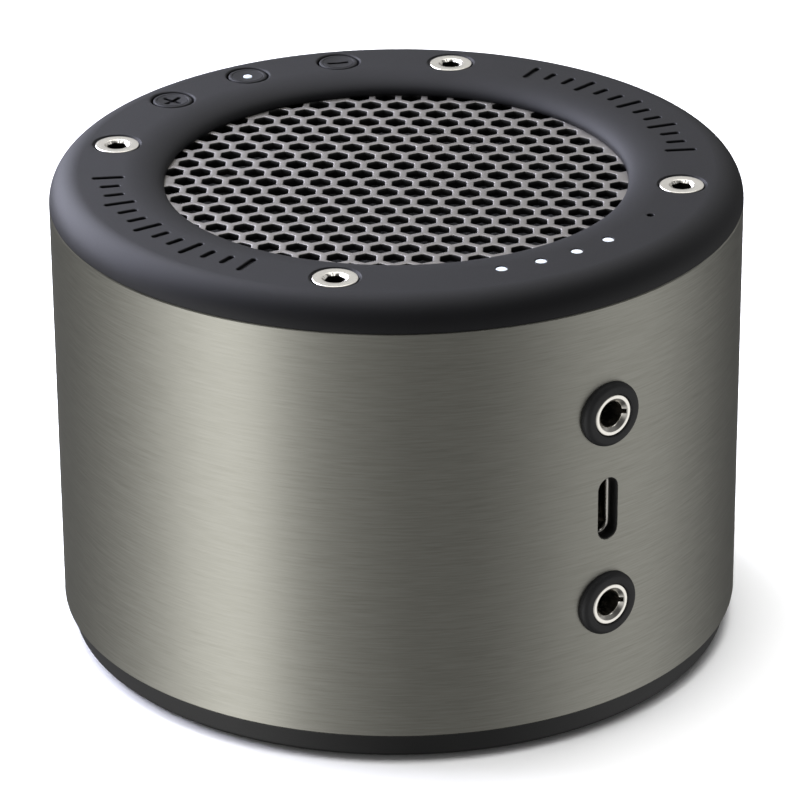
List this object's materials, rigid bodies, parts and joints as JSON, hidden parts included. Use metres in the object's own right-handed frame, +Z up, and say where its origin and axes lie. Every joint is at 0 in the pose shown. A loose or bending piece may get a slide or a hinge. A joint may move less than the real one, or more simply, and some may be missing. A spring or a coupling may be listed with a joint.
{
  "type": "portable bluetooth speaker",
  "caption": "Round portable wireless speaker: aluminium can, soft top ring with grille, buttons and charge lights, side ports, upward-firing driver.",
  "frame": {"origin": "centre of the foot pad's underside, on the can's axis", "axes": "+Z up along the can's axis; -Y out of the port side; +X to the right when facing the ports"},
  "size_m": [0.097, 0.098, 0.0685],
  "materials": {
    "brushed_aluminium": "anodised gunmetal, brushed round the can",
    "soft_touch_plastic": "charcoal soft-touch moulding",
    "grille_sheet": "perforated sheet, satin",
    "black_foam": "closed-cell foam",
    "black_plastic": "moulded, fine texture",
    "silicone_rubber": "moulded rubber",
    "nickel_steel": "nickel plated",
    "clear_plastic": "milky light pipe",
    "white_plastic": "moulded",
    "circuit_board": "green solder mask on glass epoxy",
    "flex_film": "polyimide film",
    "chip_plastic": "moulded epoxy",
    "tinned_steel": "drawn and tinned",
    "paper_cone": "coated paper",
    "copper": "enamelled wire",
    "spider_cloth": "resin-treated cloth",
    "ferrite": "sintered",
    "zinc_steel": "zinc plated",
    "gold_contact": "gold flashed",
    "red_wire": "insulated wire",
    "cell_sleeve": "shrink sleeve"
  },
  "bodies": {
    "case": {"can": "brushed_aluminium", "top_ring": "soft_touch_plastic", "grille": "grille_sheet", "grille_gasket": "black_foam", "baffle": "black_plastic", "baffle_seal": "silicone_rubber", "top_screws": "nickel_steel", "switch_bodies": "white_plastic", "button_board": "circuit_board", "power_led": "white_plastic", "button_flex": "flex_film", "light_board": "circuit_board", "charge_leds": "white_plastic", "charge_light_pipes": "clear_plastic", "reset_switch": "white_plastic", "light_flex": "flex_film", "driver_basket": "zinc_steel", "driver_gasket": "black_foam", "driver_surround": "silicone_rubber", "driver_spider": "spider_cloth", "driver_top_plate": "zinc_steel", "driver_magnet": "ferrite", "driver_yoke": "zinc_steel", "driver_screws": "zinc_steel", "driver_terminals": "gold_contact", "speaker_leads": "red_wire", "main_board": "circuit_board", "main_board_chips": "chip_plastic", "main_board_capacitors": "tinned_steel", "power_inductors": "chip_plastic", "bluetooth_module": "tinned_steel", "board_screws": "zinc_steel", "port_board": "circuit_board", "input_jack_body": "black_plastic", "output_jack_body": "black_plastic", "input_jack_ferrule": "nickel_steel", "output_jack_ferrule": "nickel_steel", "jack_contacts": "gold_contact", "input_jack_collar": "silicone_rubber", "output_jack_collar": "silicone_rubber", "usb_shell": "tinned_steel", "usb_tongue": "black_plastic", "usb_slot_liner": "black_plastic", "battery_cells": "cell_sleeve", "battery_cradle": "black_plastic", "battery_leads": "red_wire", "base_cap": "black_plastic", "base_screws": "nickel_steel", "foot_pad": "silicone_rubber"},
    "plus_button": {"plus_button": "soft_touch_plastic", "plus_switch_plunger": "white_plastic"},
    "power_button": {"power_button": "soft_touch_plastic", "power_light_pipe": "clear_plastic", "power_switch_plunger": "white_plastic"},
    "minus_button": {"minus_button": "soft_touch_plastic", "minus_switch_plunger": "white_plastic"},
    "cone": {"driver_cone": "paper_cone", "driver_dust_cap": "paper_cone", "voice_coil_former": "flex_film", "voice_coil": "copper"}
  },
  "joints": [
    {"name": "plus_press", "type": "slide", "parent": "case", "child": "plus_button", "axis": [0, 0, -1], "range_m": [0, 0.0006], "stiffness_N_per_m": 3000},
    {"name": "power_press", "type": "slide", "parent": "case", "child": "power_button", "axis": [0, 0, -1], "range_m": [0, 0.0006], "stiffness_N_per_m": 3000},
    {"name": "minus_press", "type": "slide", "parent": "case", "child": "minus_button", "axis": [0, 0, -1], "range_m": [0, 0.0006], "stiffness_N_per_m": 3000},
    {"name": "cone_stroke", "type": "slide", "parent": "case", "child": "cone", "axis": [0, 0, 1], "range_m": [-0.002, 0.002], "stiffness_N_per_m": 1200, "deforming": ["driver_surround", "driver_spider"]}
  ]
}
